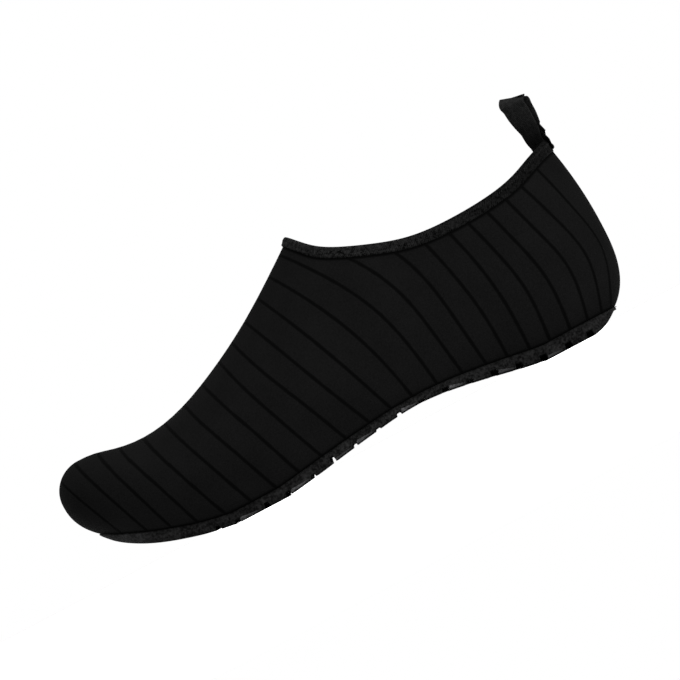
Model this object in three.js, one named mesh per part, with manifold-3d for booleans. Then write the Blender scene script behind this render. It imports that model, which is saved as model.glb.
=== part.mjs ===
// A slip-on water shoe for the left foot: a knitted sock-like upper with a bound collar and a pull loop at
// the heel, on a thin moulded outsole with a loose insole. Millimetres, +X to the toe, +Y to the outer side,
// +Z up.
// The origin is on the floor, in the middle of the heel's flat spot, on the shoe's centre plane.
import * as THREE from "three";
import { mergeVertices } from "three/addons/utils/BufferGeometryUtils.js";
import Module from "manifold-3d";

const wasm = await Module();
wasm.setup();

// Driving dimensions
const shoeLength = 250; // toe tip to the back of the heel
const ballWidth = 91; // across the upper at the ball
const heelWidth = 65; // across the upper at the heel
const toeHeight = 53.6; // floor to the top of the toe box
const instepHeight = 94; // floor to the collar in front
const ankleHeight = 69.2; // floor to the collar's lowest point, at the side
const heelHeight = 80; // floor to the collar at the back
const tipHeight = 40; // floor to the foremost point of the toe
const bulgeHeight = 40; // floor to the rearmost point of the heel
const toeSpring = 20; // floor to the front tip of the outsole
const archHeight = 8.7; // floor to the outsole's underside at the waist
const inwardCurve = 9; // how far the toe lies towards the inner side
const toeRoundness = 14; // length over which the toe tip closes
const toeLift = 0.85; // power with which the underside of the toe falls away from its tip
const heelCentre = 38; // from the back of the heel to the axis that it is rounded about
const restPoint = 31.5; // from the back of the heel to the origin

const wallThickness = 1.5; // knitted upper with its lining
const bandHeight = 5; // side of the outsole, seam to floor, at the ball
const seamTuck = 1; // how far the upper's lower edge reaches below the seam, into the outsole
const lastDepth = 6; // how far the last's own underside lies below the seam
const bandProud = 0.8; // outsole's side beyond the upper at the seam
const insoleThickness = 2.8;
const fitGap = 0.3; // between pieces that touch

const tapeThickness = 0.9; // collar binding and pull loop
const bindingFront = 4.5; // visible height of the binding at the throat
const bindingBack = 5.8; // and at the heel

const loopWidth = 12; // width of the pull loop's tape
const loopRise = 21; // collar to the top of the loop
const loopBulge = 3.6; // half the distance between the loop's legs, at the widest
const loopTurn = 67; // degrees that the top of the loop is turned to the outer side
const loopTilt = 19; // degrees that the loop's top edge falls to the back
const loopLean = 2; // how far the loop's top stands forward of the back of the collar
const sewnShare = 0.18; // part of each leg's steps that is sewn down
const footShare = 0.85; // reach of the sewn ends as a share of the binding's height
const pinchShare = 0.1; // rise, as a share of loopRise, within which the legs draw together
const seatRise = 1.1; // the legs leave the binding this far above the collar
const innerSlack = 1.15; // extra room behind the inner leg
const riseEase = 0.9; // power that spreads a leg's steps along it
const cornerCut = { width: 0.96, height: 0.5 }; // where the tape's edge is eased, shares of its halves

const lugShare = 0.4; // depth of the grooves as a share of the band
const grooveWidth = 2.1; // of the grooves across the forefoot and waist
const heelGrooveWidth = 3;
const channelStart = 0.195; // where the grooves along the sole begin, as a share of the length
const railStart = 0.58; // where they end and the heel's solid rail begins
const channelWidth = 1.8; // of the grooves along the sole
const channelShare = 0.8; // their depth as a share of the cross grooves'
const channelOffset = 13.5; // from the centre plane
const railHalfWidth = 9; // half the solid rail in the middle of the heel, which no groove crosses
const edgeTaper = 1.2; // how far the lugs' feet lie inside the band
const heelBevel = 5.5; // how far the underside's edge lies inside the band at the back

// Fineness of the surfaces
const lastSteps = { toe: 6, foot: 22, heel: 8, round: 34 };
const seamSteps = 38; // from the toe tip to the back of the heel
const tipShare = 0.3; // part of them that grows longer from the tip
const legSteps = 22; // of the pull loop, from a sewn end to its top
const slabSteps = { seam: 96, cup: 76, insole: 50, collar: 38, channel: 26 };
const collarSpan = { from: 0.5, to: 1.02 }; // shares of the length that hold the whole collar

// Sections of the last from the toe tip to the middle of the heel. "at" is a share of the length. The top is
// toe x toeHeight + instep x instepHeight, the half width is ball and heel shares of half those widths, the
// level of the widest point is a share of bulgeHeight, the underside lies "deep" x lastDepth below the seam,
// and centre and crest are shares of inwardCurve. "keel" squares the lower corner, and "pinch" draws the
// upper part in.
const lastSections = [
  {
    at: 0, toe: 1, instep: 0, ball: 0.52, heel: 0, level: 1,
    deep: 0.1, centre: -1, crest: -1, keel: 2.2, pinch: 0,
  },
  {
    at: 0.056, toe: 1, instep: 0, ball: 0.665, heel: 0, level: 0.78,
    deep: 0.35, centre: -0.9, crest: -0.95, keel: 2.4, pinch: 0,
  },
  {
    at: 0.08, toe: 0.995, instep: 0, ball: 0.735, heel: 0, level: 0.7,
    deep: 0.6, centre: -0.75, crest: -0.92, keel: 2.6, pinch: 0,
  },
  {
    at: 0.12, toe: 0.951, instep: 0, ball: 0.835, heel: 0, level: 0.6,
    deep: 0.95, centre: -0.55, crest: -0.85, keel: 3, pinch: 0,
  },
  {
    at: 0.184, toe: 0.926, instep: 0, ball: 0.934, heel: 0, level: 0.5,
    deep: 1, centre: -0.25, crest: -0.75, keel: 3.4, pinch: 0,
  },
  {
    at: 0.24, toe: 0.7, instep: 0.157, ball: 0.98, heel: 0, level: 0.46,
    deep: 1, centre: 0, crest: -0.65, keel: 3.6, pinch: 0.05,
  },
  {
    at: 0.32, toe: 0.4, instep: 0.414, ball: 1, heel: 0, level: 0.47,
    deep: 1, centre: 0.2, crest: -0.55, keel: 3.8, pinch: 0.12,
  },
  {
    at: 0.4, toe: 0.15, instep: 0.672, ball: 0.967, heel: 0, level: 0.52,
    deep: 1, centre: 0.33, crest: -0.45, keel: 3.8, pinch: 0.2,
  },
  {
    at: 0.48, toe: 0, instep: 0.9, ball: 0.55, heel: 0.49, level: 0.6,
    deep: 1, centre: 0.38, crest: -0.3, keel: 3.6, pinch: 0.24,
  },
  {
    at: 0.56, toe: 0, instep: 1.06, ball: 0.25, heel: 0.83, level: 0.68,
    deep: 1, centre: 0.33, crest: -0.2, keel: 3.4, pinch: 0.26,
  },
  {
    at: 0.68, toe: 0, instep: 1.32, ball: 0, heel: 1.08, level: 0.8,
    deep: 1, centre: 0.15, crest: -0.08, keel: 3.4, pinch: 0.6,
  },
  {
    at: 0.848, toe: 0, instep: 1.6, ball: 0, heel: 1, level: 0.95,
    deep: 1, centre: 0, crest: 0, keel: 3.2, pinch: 0.9,
  },
];

// The profile down the back of the heel, which the last section turns into.
const heelBack = { level: 1, keel: 2.8, pinch: 0.5 };

// The outsole from the side: its underside is spring x toeSpring + arch x archHeight, and the seam lies
// band x bandHeight above it. Values below the floor are cut off flat, which makes the two resting spots.
const soleLine = [
  { at: 0.032, spring: 1.115, arch: 0, band: 0.06 },
  { at: 0.04, spring: 1, arch: 0, band: 0.4 },
  { at: 0.056, spring: 0.82, arch: 0, band: 0.72 },
  { at: 0.08, spring: 0.63, arch: 0, band: 0.96 },
  { at: 0.12, spring: 0.4, arch: 0, band: 1.08 },
  { at: 0.16, spring: 0.235, arch: 0, band: 1.08 },
  { at: 0.2, spring: 0.105, arch: 0, band: 1.04 },
  { at: 0.24, spring: 0.02, arch: 0, band: 1 },
  { at: 0.3, spring: -0.03, arch: 0, band: 1 },
  { at: 0.36, spring: 0, arch: 0.09, band: 1.02 },
  { at: 0.44, spring: 0, arch: 0.45, band: 0.96 },
  { at: 0.52, spring: 0, arch: 0.8, band: 0.82 },
  { at: 0.6, spring: 0, arch: 1, band: 0.72 },
  { at: 0.68, spring: 0, arch: 0.76, band: 0.9 },
  { at: 0.76, spring: 0, arch: 0.31, band: 1.14 },
  { at: 0.82, spring: 0, arch: 0, band: 1.24 },
  { at: 0.88, spring: 0, arch: -0.08, band: 1.28 },
  { at: 1, spring: 0, arch: -0.08, band: 1.28 },
];

// The grooves across the sole, from toe to heel: place as a share of the length, and depth as a share of the
// full depth, lugShare x the band.
const grooveLine = [
  { at: 0.218, deep: 0.75 },
  { at: 0.251, deep: 0.6 },
  { at: 0.305, deep: 1 },
  { at: 0.344, deep: 0.8 },
  { at: 0.392, deep: 0.55 },
  { at: 0.432, deep: 1.15 },
  { at: 0.474, deep: 0.6 },
  { at: 0.519, deep: 0.4 },
  { at: 0.561, deep: 0.75 },
  { at: 0.602, deep: 0.5 },
  { at: 0.645, deep: 0.9 },
  { at: 0.687, deep: 0.6 },
  { at: 0.728, deep: 1 },
  { at: 0.769, deep: 0.85 },
  { at: 0.81, deep: 0.9 },
  { at: 0.855, deep: 0.9 },
  { at: 0.895, deep: 0.9 },
];

// The top of the collar from the side, as shares of its three named heights.
const collarLine = [
  { at: 0.5, front: 1.42, side: -0.42, back: 0 },
  { at: 0.536, front: 1, side: 0, back: 0 },
  { at: 0.56, front: 0.72, side: 0.28, back: 0 },
  { at: 0.6, front: 0.444, side: 0.556, back: 0 },
  { at: 0.64, front: 0.27, side: 0.73, back: 0 },
  { at: 0.7, front: 0.073, side: 0.927, back: 0 },
  { at: 0.78, front: 0, side: 1, back: 0 },
  { at: 0.84, front: 0, side: 0.935, back: 0.065 },
  { at: 0.9, front: 0, side: 0.667, back: 0.333 },
  { at: 0.94, front: 0, side: 0.3, back: 0.7 },
  { at: 0.98, front: 0, side: 0, back: 1 },
  { at: 1.02, front: 0, side: -0.1, back: 1.1 },
];

// Half of the pull loop, from its sewn end to its top: rise as a share of loopRise, the leg's distance
// from the loop's middle as a share of loopBulge, and its turn and lean as shares of theirs.
const loopHalf = [
  { rise: 0.03, out: 0.4, turn: 0.1, lean: 0 },
  { rise: 0.1, out: 0.27, turn: 0.24, lean: 0.02 },
  { rise: 0.2, out: 0.27, turn: 0.37, lean: 0.06 },
  { rise: 0.4, out: 0.38, turn: 0.58, lean: 0.22 },
  { rise: 0.6, out: 0.62, turn: 0.8, lean: 0.45 },
  { rise: 0.8, out: 0.8, turn: 0.93, lean: 0.75 },
  { rise: 0.93, out: 0.6, turn: 0.98, lean: 0.93 },
  { rise: 1, out: 0, turn: 1, lean: 1 },
];

const colours = { knit: 0x161617, tape: 0x1b1b1c, rubber: 0x232324, foam: 0x141415 };

const mergeDistance = 1e-4;

const mix = (a, b, t) => a + (b - a) * t;
const clamp = (v, low, high) => Math.min(high, Math.max(low, v));

// A smooth curve through one column of a table: a natural cubic spline that runs on straight past its ends
function curveThrough(rows, key, value) {
  const x = rows.map((row) => row[key]);
  const y = rows.map(value);
  const last = x.length - 1;
  const bend = new Array(last + 1).fill(0);
  const upper = new Array(last + 1).fill(0);
  const right = new Array(last + 1).fill(0);
  for (let i = 1; i < last; i++) {
    const before = x[i] - x[i - 1];
    const after = x[i + 1] - x[i];
    const pivot = 2 * (before + after) - before * upper[i - 1];
    upper[i] = after / pivot;
    right[i] = (6 * ((y[i + 1] - y[i]) / after - (y[i] - y[i - 1]) / before) - before * right[i - 1]) / pivot;
  }
  for (let i = last - 1; i > 0; i--) bend[i] = right[i] - upper[i] * bend[i + 1];
  const slopeAt = (i, j) => (y[j] - y[i]) / (x[j] - x[i]);
  const startSlope = slopeAt(0, 1) - ((x[1] - x[0]) * bend[1]) / 6;
  const endSlope = slopeAt(last - 1, last) + ((x[last] - x[last - 1]) * bend[last - 1]) / 6;
  return (t) => {
    if (t <= x[0]) return y[0] + (t - x[0]) * startSlope;
    if (t >= x[last]) return y[last] + (t - x[last]) * endSlope;
    let i = 0;
    while (t > x[i + 1]) i++;
    const span = x[i + 1] - x[i];
    const a = (x[i + 1] - t) / span;
    const b = 1 - a;
    const cubic = (a ** 3 - a) * bend[i] + (b ** 3 - b) * bend[i + 1];
    return a * y[i] + b * y[i + 1] + (cubic * span * span) / 6;
  };
}

const overLength = (rows, value) => {
  const curve = curveThrough(rows, "at", value);
  return (s) => curve(s / shoeLength);
};

// Curves over the distance s from the toe tip
const topAt = overLength(lastSections, (r) => r.toe * toeHeight + r.instep * instepHeight);
const halfAt = overLength(lastSections, (r) => (r.ball * ballWidth + r.heel * heelWidth) / 2);
const levelAt = overLength(lastSections, (r) => r.level * bulgeHeight);
const deepAt = overLength(lastSections, (r) => r.deep * lastDepth);
const centreAt = overLength(lastSections, (r) => r.centre * inwardCurve);
const crestAt = overLength(lastSections, (r) => r.crest * inwardCurve);
const keelAt = overLength(lastSections, (r) => r.keel);
const pinchAt = overLength(lastSections, (r) => r.pinch);
const undersideAt = overLength(soleLine, (r) => r.spring * toeSpring + r.arch * archHeight);
const bandAt = overLength(soleLine, (r) => r.band * bandHeight);
const groundAt = (s) => Math.max(0, undersideAt(s));
const seamAt = (s) => groundAt(s) + bandAt(s);
const bedAt = (s) => seamAt(s) - seamTuck - fitGap; // floor of the outsole's cup
const collarAt = overLength(
  collarLine,
  (r) => r.front * instepHeight + r.side * ankleHeight + r.back * heelHeight,
);

const heelAxis = shoeLength - heelCentre;
const toX = (s) => shoeLength - restPoint - s;

// A curve over s moved down square to itself
function lowered(curve, distance) {
  const step = 0.5;
  return (s) => {
    const slope = (curve(s + step) - curve(s - step)) / (2 * step);
    return curve(s) - (typeof distance === "function" ? distance(s) : distance) * Math.hypot(1, slope);
  };
}

// The section of the last at a station: 0 to 1 closes the toe, 1 to 2 runs along the foot, and 2 to 3
// swings round the heel's axis to the back.
function sectionAt(station) {
  const quarter = Math.PI / 2;
  const cap = Math.sin(clamp(station, 0, 1) * quarter);
  const s = station <= 1
    ? toeRoundness * (1 - Math.cos(Math.max(station, 0) * quarter))
    : mix(toeRoundness, heelAxis, Math.min(station - 1, 1));
  const turn = clamp(station - 2, 0, 1) * quarter;
  const back = Math.sin(turn) ** 2;
  const side = halfAt(s) * cap;
  const half = turn > 0
    ? 1 / Math.hypot(Math.cos(turn) / side, Math.sin(turn) / heelCentre)
    : side;
  return {
    s,
    turn,
    half,
    bottom: mix(tipHeight, seamAt(s) - deepAt(s), cap ** toeLift),
    top: mix(tipHeight, topAt(s), cap),
    level: mix(levelAt(s), heelBack.level * bulgeHeight, back),
    centre: centreAt(s),
    crest: crestAt(s),
    keel: mix(keelAt(s), heelBack.keel, back),
    pinch: mix(pinchAt(s), heelBack.pinch, back),
  };
}

// A point on the last's skin. The angle runs from -90 degrees at the bottom over 0 at the outer side to
// 90 at the top, and on down the inner side.
function skinPoint(station, angle) {
  const row = sectionAt(station);
  const cosine = Math.cos(angle);
  const sine = Math.sin(angle);
  let reach;
  let z;
  let middle = row.centre;
  if (sine < 0) {
    reach = row.half * Math.abs(cosine) ** (2 / row.keel);
    z = row.level - (row.level - row.bottom) * Math.abs(sine) ** (2 / row.keel);
  } else {
    reach = row.half * Math.abs(cosine) * (1 - row.pinch * sine * sine);
    z = mix(row.level, row.top, sine);
    middle = mix(row.centre, row.crest, sine * sine);
  }
  const side = cosine < 0 ? -1 : 1;
  const back = reach * Math.sin(row.turn);
  return new THREE.Vector3(toX(row.s + back), middle + side * reach * Math.cos(row.turn), z);
}

// The outward normal there
function skinNormal(station, angle) {
  const step = 0.02;
  const low = clamp(station - step, 0.01, 3);
  const high = clamp(station + step, 0.01, 3);
  const along = skinPoint(high, angle).sub(skinPoint(low, angle));
  const round = skinPoint(station, angle + step).sub(skinPoint(station, angle - step));
  return along.cross(round).normalize();
}

// The root of a rising function between two bounds
function rootOf(f, low, high) {
  for (let i = 0; i < 40; i++) {
    const middle = (low + high) / 2;
    if (f(middle) < 0) low = middle;
    else high = middle;
  }
  return (low + high) / 2;
}

const distanceFromToe = (point) => shoeLength - restPoint - point.x;

// Where the last's skin meets a level that is a curve over s, on one side of a station. The upper half
// of the section is searched for a collar and the lower half for a seam.
function meeting(station, level, side, lower) {
  const quarter = Math.PI / 2;
  const turned = (angle) => (side > 0 ? angle : Math.PI - angle);
  const above = (angle) => {
    const point = skinPoint(station, turned(angle));
    return point.z - level(distanceFromToe(point));
  };
  const angle = lower ? rootOf(above, -quarter, 0) : rootOf(above, 0, quarter);
  const at = turned(angle);
  return { point: skinPoint(station, at), normal: skinNormal(station, at) };
}

// The seam as a closed ring: down the outer side from the toe tip to the heel, and back up the inner side
function seamRing() {
  const deepest = (station) => {
    const point = skinPoint(station, -Math.PI / 2);
    return seamAt(distanceFromToe(point)) - point.z;
  };
  const front = rootOf(deepest, 0, 1);
  const outer = [];
  const inner = [];
  for (let i = 0; i <= seamSteps; i++) {
    const share = i / seamSteps;
    const eased = share < tipShare
      ? share ** 2 / (tipShare * (2 - tipShare))
      : (share - tipShare / 2) / (1 - tipShare / 2);
    const station = mix(front, 3, eased);
    const left = meeting(station, seamAt, 1, true).point;
    const right = meeting(station, seamAt, -1, true).point;
    if (i === 0 || i === seamSteps) {
      outer.push(left.add(right).multiplyScalar(0.5));
    } else {
      outer.push(left);
      inner.unshift(right);
    }
  }
  return [...outer, ...inner];
}

// A ring whose points are moved outwards in plan
function movedOut(ring, distance) {
  const count = ring.length;
  return ring.map((point, i) => {
    const before = ring[(i + count - 1) % count];
    const after = ring[(i + 1) % count];
    const outward = new THREE.Vector3(after.y - before.y, before.x - after.x, 0).normalize();
    const amount = typeof distance === "function" ? distance(point) : distance;
    return point.clone().addScaledVector(outward, amount);
  });
}

const withHeight = (points, height) =>
  points.map((p) => new THREE.Vector3(p.x, p.y, height(distanceFromToe(p))));

// A geometry from points and faces, with coinciding points merged and flat faces dropped
function geometryOf(points, faces) {
  const geometry = new THREE.BufferGeometry();
  const positions = new Float32Array(points.flatMap((p) => [p.x, p.y, p.z]));
  geometry.setAttribute("position", new THREE.BufferAttribute(positions, 3));
  geometry.setIndex(faces.flat());
  const merged = mergeVertices(geometry, mergeDistance);
  const index = merged.index.array;
  const kept = [];
  for (let i = 0; i < index.length; i += 3) {
    const [a, b, c] = [index[i], index[i + 1], index[i + 2]];
    if (a !== b && b !== c && c !== a) kept.push(a, b, c);
  }
  merged.setIndex(kept);
  return merged;
}

const quad = (a, b, c, d) => [[a, b, c], [a, c, d]];

// Quads between neighbouring rings of equal count
function ringFaces(ringCount, size) {
  const faces = [];
  for (let start = 0; start < (ringCount - 1) * size; start += size) {
    for (let j = 0; j < size; j++) {
      const k = (j + 1) % size;
      faces.push(...quad(start + j, start + k, start + size + k, start + size + j));
    }
  }
  return faces;
}

// Faces that close a ring with two like sides, one strip across for each step along
function ladderFaces(start, size, up) {
  const faces = [];
  const half = size / 2;
  const other = (j) => start + ((size - j) % size);
  for (let j = 0; j < half; j++) {
    const strip = quad(start + j, start + j + 1, other(j + 1), other(j));
    for (const [a, b, c] of strip) faces.push(up ? [a, b, c] : [a, c, b]);
  }
  return faces;
}

// The skin of a solid between such rings, the first at the top and the last at the bottom
function stackedRings(rings) {
  const size = rings[0].length;
  const faces = [
    ...ringFaces(rings.length, size),
    ...ladderFaces(0, size, false),
    ...ladderFaces((rings.length - 1) * size, size, true),
  ];
  return faceOut(geometryOf(rings.flat(), faces));
}

const flipped = (faces) => faces.map(([a, b, c]) => [a, c, b]);

// A closed skin turned to face outwards
function faceOut(geometry) {
  if (solidOf(geometry).volume() > 0) return geometry;
  const index = geometry.index.array;
  for (let i = 0; i < index.length; i += 3) [index[i + 1], index[i + 2]] = [index[i + 2], index[i + 1]];
  return geometry;
}

// Solids and geometries
function solidOf(geometry) {
  const bare = new THREE.BufferGeometry();
  bare.setAttribute("position", geometry.getAttribute("position"));
  if (geometry.index) bare.setIndex(geometry.index);
  const merged = mergeVertices(bare, mergeDistance);
  return new wasm.Manifold(new wasm.Mesh({
    numProp: 3,
    vertProperties: new Float32Array(merged.getAttribute("position").array),
    triVerts: new Uint32Array(merged.index.array),
  }));
}

function shapeOf(solid) {
  const mesh = solid.getMesh();
  const geometry = new THREE.BufferGeometry();
  geometry.setAttribute("position", new THREE.BufferAttribute(new Float32Array(mesh.vertProperties), 3));
  geometry.setIndex(new THREE.BufferAttribute(new Uint32Array(mesh.triVerts), 1));
  geometry.computeVertexNormals();
  return geometry;
}

// The closed last, moved along its own normals by an offset
function lastSolid(offset) {
  const { toe, foot, heel, round } = lastSteps;
  const stations = [];
  for (let i = 0; i < toe; i++) stations.push(i / toe);
  for (let i = 0; i < foot; i++) stations.push(1 + i / foot);
  for (let i = 0; i <= heel; i++) stations.push(2 + i / heel);
  const points = [];
  for (const station of stations) {
    for (let j = 0; j < round; j++) {
      points.push(skinPoint(station, -Math.PI / 2 + (2 * Math.PI * j) / round));
    }
  }
  const geometry = geometryOf(points, flipped(ringFaces(stations.length, round)));
  geometry.computeVertexNormals();
  const position = geometry.getAttribute("position");
  const normal = geometry.getAttribute("normal");
  for (let i = 0; i < position.count; i++) {
    const moved = new THREE.Vector3()
      .fromBufferAttribute(position, i)
      .addScaledVector(new THREE.Vector3().fromBufferAttribute(normal, i), offset);
    position.setXYZ(i, moved.x, moved.y, moved.z);
  }
  return solidOf(geometry);
}

// A solid as wide as the shoe whose side view lies between two curves over s
function slabBetween(low, high, from, to, halfWidth, steps) {
  const outline = new THREE.Shape();
  const upper = [];
  for (let i = 0; i <= steps; i++) {
    const s = mix(from, to, i / steps);
    if (i === 0) outline.moveTo(toX(s), low(s));
    else outline.lineTo(toX(s), low(s));
    upper.unshift([toX(s), high(s)]);
  }
  for (const [x, z] of upper) outline.lineTo(x, z);
  outline.closePath();
  const geometry = new THREE.ExtrudeGeometry(outline, { depth: 2 * halfWidth, bevelEnabled: false });
  geometry.rotateX(Math.PI / 2);
  geometry.translate(0, halfWidth, 0);
  return solidOf(geometry);
}

const beyond = ballWidth; // wider than any piece

// The upper: one wall, open at the collar and underneath
function upperShape() {
  const wall = lastSolid(0).subtract(lastSolid(-wallThickness));
  const rim = lowered(collarAt, tapeThickness + fitGap);
  const kept = slabBetween(
    (s) => seamAt(s) - seamTuck,
    (s) => (s < shoeLength / 2 ? 2 * instepHeight : rim(s)),
    -toeRoundness,
    shoeLength + toeRoundness,
    beyond,
    slabSteps.seam,
  );
  return shapeOf(wall.intersect(kept));
}

// The outsole: a shallow cup that the upper sits in, with lugs cut into its underside
function outsoleShape() {
  const seam = seamRing();
  const backShare = (p) => clamp((distanceFromToe(p) - heelAxis) / (heelCentre - restPoint / 2), 0, 1) ** 2;
  const taper = (p) => bandProud - mix(edgeTaper, heelBevel, backShare(p));
  const body = solidOf(stackedRings([
    withHeight(movedOut(seam, bandProud), seamAt),
    withHeight(movedOut(seam, bandProud), (s) => groundAt(s) + lugShare * bandAt(s)),
    withHeight(movedOut(seam, taper), groundAt),
  ]));
  const cup = slabBetween(bedAt, () => instepHeight, 0, shoeLength, beyond, slabSteps.cup);
  let made = body.subtract(lastSolid(fitGap).intersect(cup));
  for (const groove of sideToSideGrooves()) made = made.subtract(groove);
  for (const channel of lengthwiseChannels()) made = made.subtract(channel);
  return shapeOf(mainBody(made));
}

// The largest body of a solid, without slivers that crossing cuts leave
function mainBody(solid) {
  return solid.decompose().reduce((best, body) => (body.volume() > best.volume() ? body : best));
}

// Grooves across the sole. Behind the waist they stop at a solid rail in the middle.
function sideToSideGrooves() {
  const grooves = [];
  for (const { at, deep } of grooveLine) {
    const s = at * shoeLength;
    const slope = Math.atan(groundAt(s + 1) / 2 - groundAt(s - 1) / 2);
    const depth = deep * lugShare * bandAt(s);
    const inHeel = at > railStart;
    for (const side of inHeel ? [-1, 1] : [0]) {
      const width = inHeel ? heelGrooveWidth : grooveWidth;
      const box = new THREE.BoxGeometry(width, inHeel ? beyond : 2 * beyond, 2 * depth);
      box.rotateY(slope);
      box.translate(toX(s), side * (beyond / 2 + railHalfWidth), groundAt(s));
      grooves.push(solidOf(box));
    }
  }
  return grooves;
}

// Two channels along the forefoot and waist
function lengthwiseChannels() {
  const cut = slabBetween(
    (s) => groundAt(s) - bandHeight,
    (s) => groundAt(s) + channelShare * lugShare * bandAt(s),
    channelStart * shoeLength,
    railStart * shoeLength,
    channelWidth / 2,
    slabSteps.channel,
  );
  return [-1, 1].map((side) => cut.translate([0, side * channelOffset, 0]));
}

// The insole: a loose sheet on the outsole's cup
function insoleShape() {
  const underAt = (s) => bedAt(s) + fitGap;
  const overAt = (s) => underAt(s) + insoleThickness;
  const sheet = slabBetween(underAt, overAt, 0, shoeLength, beyond, slabSteps.insole);
  return shapeOf(sheet.intersect(lastSolid(-wallThickness - fitGap)));
}

// The collar binding: a tape folded over the upper's edge, round the whole collar
function bindingShape() {
  const tape = lastSolid(fitGap + tapeThickness).subtract(lastSolid(-wallThickness - fitGap - tapeThickness));
  const height = (s) => mix(bindingFront, bindingBack, clamp((2 * s) / shoeLength - 1, 0, 1));
  const ring = collarSlab(lowered(collarAt, height), collarAt);
  return shapeOf(mainBody(tape.intersect(ring).subtract(upperGrown())));
}

const collarSlab = (low, high) => slabBetween(
  low,
  high,
  collarSpan.from * shoeLength,
  collarSpan.to * shoeLength,
  beyond,
  slabSteps.collar,
);

// The upper with the fit gap all round, near its collar
function upperGrown() {
  const wall = lastSolid(fitGap).subtract(lastSolid(-wallThickness - fitGap));
  return wall.intersect(collarSlab(() => bulgeHeight, lowered(collarAt, tapeThickness)));
}

// The pull loop: a tape sewn outside and inside the back of the collar, and turned to the outer side above
function loopShape() {
  const back = meeting(3, collarAt, 1, false);
  const outward = back.normal.clone().setY(0).normalize();
  const up = new THREE.Vector3(-outward.z, 0, outward.x);
  if (up.z < 0) up.negate();
  const overBinding = fitGap + tapeThickness + fitGap + tapeThickness / 2;
  const innerFoot = -wallThickness - overBinding - innerSlack;
  const middle = (overBinding + innerFoot) / 2;
  const foot = overBinding - middle;
  const rows = [];
  const spread = curveThrough(loopHalf, "rise", (r) => r.out * loopBulge);
  const turnAt = curveThrough(loopHalf, "rise", (r) => THREE.MathUtils.degToRad(r.turn * loopTurn));
  const leanAt = curveThrough(loopHalf, "rise", (r) => r.lean * loopLean);
  const base = back.point.clone().addScaledVector(outward, middle);
  for (let i = -legSteps; i <= legSteps; i++) {
    const side = i < 0 ? 1 : -1;
    const share = 1 - Math.abs(i) / legSteps;
    let place;
    let turn = 0;
    let tilt = 0;
    if (share < sewnShare) {
      const depth = mix(-footShare * bindingBack, 0, share / sewnShare);
      place = base.clone().addScaledVector(outward, side * foot).addScaledVector(up, depth + seatRise);
    } else {
      const climb = (share - sewnShare) / (1 - sewnShare);
      const rise = Math.sin((climb * Math.PI) / 2) ** riseEase;
      const out = i === 0 ? 0 : mix(foot, spread(rise), clamp(rise / pinchShare, 0, 1));
      turn = turnAt(rise);
      tilt = (turn * loopTilt) / loopTurn;
      place = new THREE.Vector3(
        -side * out * Math.cos(turn) + leanAt(rise),
        -side * out * Math.sin(turn),
        rise * loopRise + seatRise,
      ).add(base);
    }
    rows.push({ place, turn, tilt });
  }
  const path = rows.map((row) => row.place);
  const rings = rows.map(({ place, turn, tilt }, i) => {
    const before = path[Math.max(i - 1, 0)];
    const after = path[Math.min(i + 1, path.length - 1)];
    const along = after.clone().sub(before).normalize();
    const wide = new THREE.Vector3(-Math.sin(turn), Math.cos(turn), -Math.sin(tilt) * Math.sin(turn));
    wide.addScaledVector(along, -wide.dot(along)).normalize();
    const thick = along.clone().cross(wide).normalize();
    const corner = (w, t) => place.clone()
      .addScaledVector(wide, (w * loopWidth) / 2)
      .addScaledVector(thick, (t * tapeThickness) / 2);
    const { width, height } = cornerCut;
    return [
      corner(-1, -height), corner(-width, -1), corner(width, -1), corner(1, -height),
      corner(1, height), corner(width, 1), corner(-width, 1), corner(-1, height),
    ];
  });
  const size = rings[0].length;
  const faces = ringFaces(rings.length, size);
  const end = (rings.length - 1) * size;
  for (let j = 1; j < size - 1; j++) {
    faces.push([0, j + 1, j], [end, end + j, end + j + 1]);
  }
  return geometryOf(rings.flat(), faces);
}

const finishes = {
  knit: new THREE.MeshStandardMaterial({ color: colours.knit, roughness: 0.85, metalness: 0 }),
  tape: new THREE.MeshStandardMaterial({ color: colours.tape, roughness: 0.7, metalness: 0 }),
  rubber: new THREE.MeshStandardMaterial({ color: colours.rubber, roughness: 0.55, metalness: 0 }),
  foam: new THREE.MeshStandardMaterial({ color: colours.foam, roughness: 0.9, metalness: 0 }),
};

const shoe = new THREE.Group();

function addPiece(name, geometry, finish) {
  const mesh = new THREE.Mesh(faceOut(geometry), finish);
  mesh.name = name;
  shoe.add(mesh);
}

addPiece("upper", upperShape(), finishes.knit);
addPiece("outsole", outsoleShape(), finishes.rubber);
addPiece("insole", insoleShape(), finishes.foam);
addPiece("collar_binding", bindingShape(), finishes.tape);
addPiece("pull_loop", loopShape(), finishes.tape);

export default shoe;
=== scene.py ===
# The water shoe as the photograph shows it: a left shoe from its outer side, standing on a pale floor.
# Shapes are worked out in millimetres from the toe tip and written in metres in the shoe's own frame.
import math
import bpy
import numpy as np
from mathutils import Matrix, Vector


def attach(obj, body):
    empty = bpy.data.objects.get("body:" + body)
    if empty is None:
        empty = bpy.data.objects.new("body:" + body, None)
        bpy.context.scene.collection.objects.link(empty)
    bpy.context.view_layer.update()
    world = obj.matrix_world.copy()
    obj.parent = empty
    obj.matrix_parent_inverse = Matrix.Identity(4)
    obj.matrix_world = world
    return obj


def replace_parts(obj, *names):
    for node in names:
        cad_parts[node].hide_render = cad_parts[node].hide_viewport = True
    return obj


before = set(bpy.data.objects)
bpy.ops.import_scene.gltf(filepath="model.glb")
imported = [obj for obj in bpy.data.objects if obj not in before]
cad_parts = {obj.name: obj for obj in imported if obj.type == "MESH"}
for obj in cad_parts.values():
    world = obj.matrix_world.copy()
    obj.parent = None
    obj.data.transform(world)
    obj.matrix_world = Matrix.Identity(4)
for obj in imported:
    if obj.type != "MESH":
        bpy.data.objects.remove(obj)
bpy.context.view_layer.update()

toMetres = 0.001

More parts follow.
